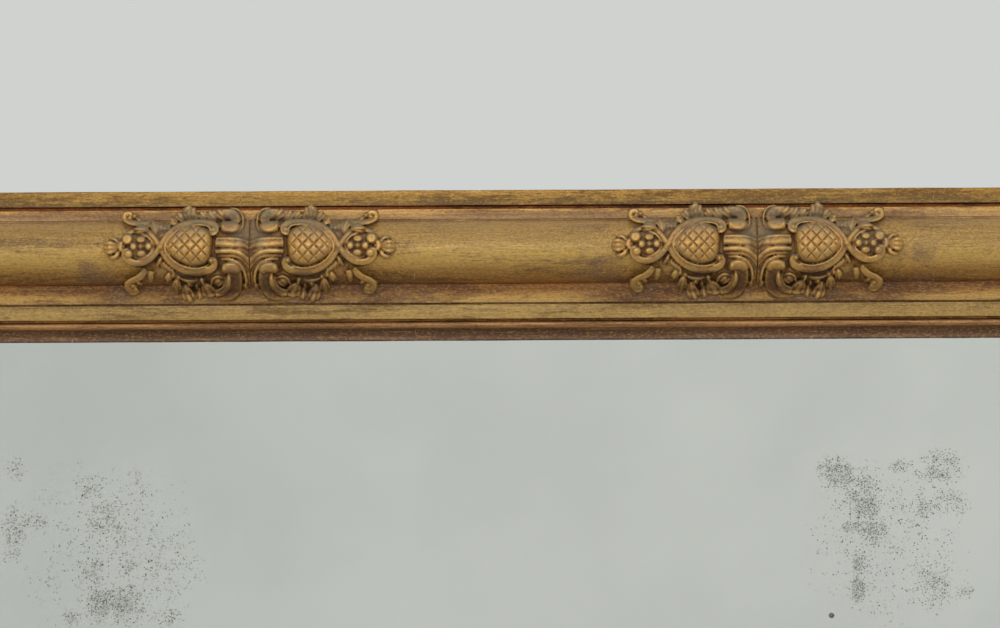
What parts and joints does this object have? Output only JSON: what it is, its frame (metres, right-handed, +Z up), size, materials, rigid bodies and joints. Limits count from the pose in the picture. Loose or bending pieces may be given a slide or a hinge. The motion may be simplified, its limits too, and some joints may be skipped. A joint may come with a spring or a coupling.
{
  "type": "overmantel mirror",
  "caption": "Gilt overmantel mirror: a built-up pine frame with applied cartouche ornaments round a silvered glass plate, standing on a shelf or hung by two folding rings.",
  "frame": {"origin": "middle of the lower edge, at the middle of the depth, on the surface that the mirror stands on", "axes": "+X to the right as the viewer faces the mirror, +Y from the viewer towards the wall, +Z up"},
  "size_m": [1.3, 0.082, 0.9],
  "materials": {
    "gilded_edge": "aged gilding over gesso, satin, worn to the red-brown bole",
    "gilded_torus": "aged burnished gilding over gesso, satin, streaked and toned",
    "gilded_slip": "aged gilding over gesso, satin, dark toned in the hollow",
    "gilded_composition": "moulded glue-and-chalk composition, gilded, dirt in the recesses",
    "pine": "bare aged pine",
    "board_pine": "bare aged pine boards, oxidised brown",
    "hardwood": "bare beech keys",
    "plate_glass": "clear polished plate with a faint green cast",
    "silvering": "silvered back of the plate, foxed with brown specks",
    "brass": "dulled brass",
    "iron": "dark iron screws and nails"
  },
  "bodies": {
    "mirror": {"edge_strip_top": "gilded_edge", "edge_strip_right": "gilded_edge", "edge_strip_bottom": "gilded_edge", "edge_strip_left": "gilded_edge", "torus_moulding_top": "gilded_torus", "torus_moulding_right": "gilded_torus", "torus_moulding_bottom": "gilded_torus", "torus_moulding_left": "gilded_torus", "sight_slip_top": "gilded_slip", "sight_slip_right": "gilded_slip", "sight_slip_bottom": "gilded_slip", "sight_slip_left": "gilded_slip", "back_rail_top": "pine", "back_rail_bottom": "pine", "back_stile_left": "pine", "back_stile_right": "pine", "mitre_key_top_left": "hardwood", "mitre_key_top_right": "hardwood", "mitre_key_bottom_left": "hardwood", "mitre_key_bottom_right": "hardwood", "mirror_plate": "plate_glass", "silvering": "silvering", "plate_blocks": "pine", "backboard_1": "board_pine", "backboard_2": "board_pine", "backboard_3": "board_pine", "backboard_4": "board_pine", "frame_screws": "iron", "lap_screws": "iron", "backboard_nails": "iron", "hanger_screws": "iron", "hanger_strap_left": "brass", "hanger_strap_right": "brass", "cartouche_top_left_a": "gilded_composition", "cartouche_top_left_b": "gilded_composition", "cartouche_top_right_a": "gilded_composition", "cartouche_top_right_b": "gilded_composition", "cartouche_bottom_left_a": "gilded_composition", "cartouche_bottom_left_b": "gilded_composition", "cartouche_bottom_right_a": "gilded_composition", "cartouche_bottom_right_b": "gilded_composition", "cartouche_left_a": "gilded_composition", "cartouche_left_b": "gilded_composition", "cartouche_right_a": "gilded_composition", "cartouche_right_b": "gilded_composition", "corner_top_left_a": "gilded_composition", "corner_top_left_b": "gilded_composition", "corner_top_right_a": "gilded_composition", "corner_top_right_b": "gilded_composition", "corner_bottom_left_a": "gilded_composition", "corner_bottom_left_b": "gilded_composition", "corner_bottom_right_a": "gilded_composition", "corner_bottom_right_b": "gilded_composition"},
    "left_ring": {"hanger_ring_left": "brass"},
    "right_ring": {"hanger_ring_right": "brass"}
  },
  "joints": [
    {"name": "left_ring_swing", "type": "hinge", "parent": "mirror", "child": "left_ring", "pos_m": [-0.6, 0.03732, 0.65], "axis": [1, 0, 0], "range_deg": [0, 180]},
    {"name": "right_ring_swing", "type": "hinge", "parent": "mirror", "child": "right_ring", "pos_m": [0.6, 0.03732, 0.65], "axis": [1, 0, 0], "range_deg": [0, 180]}
  ]
}
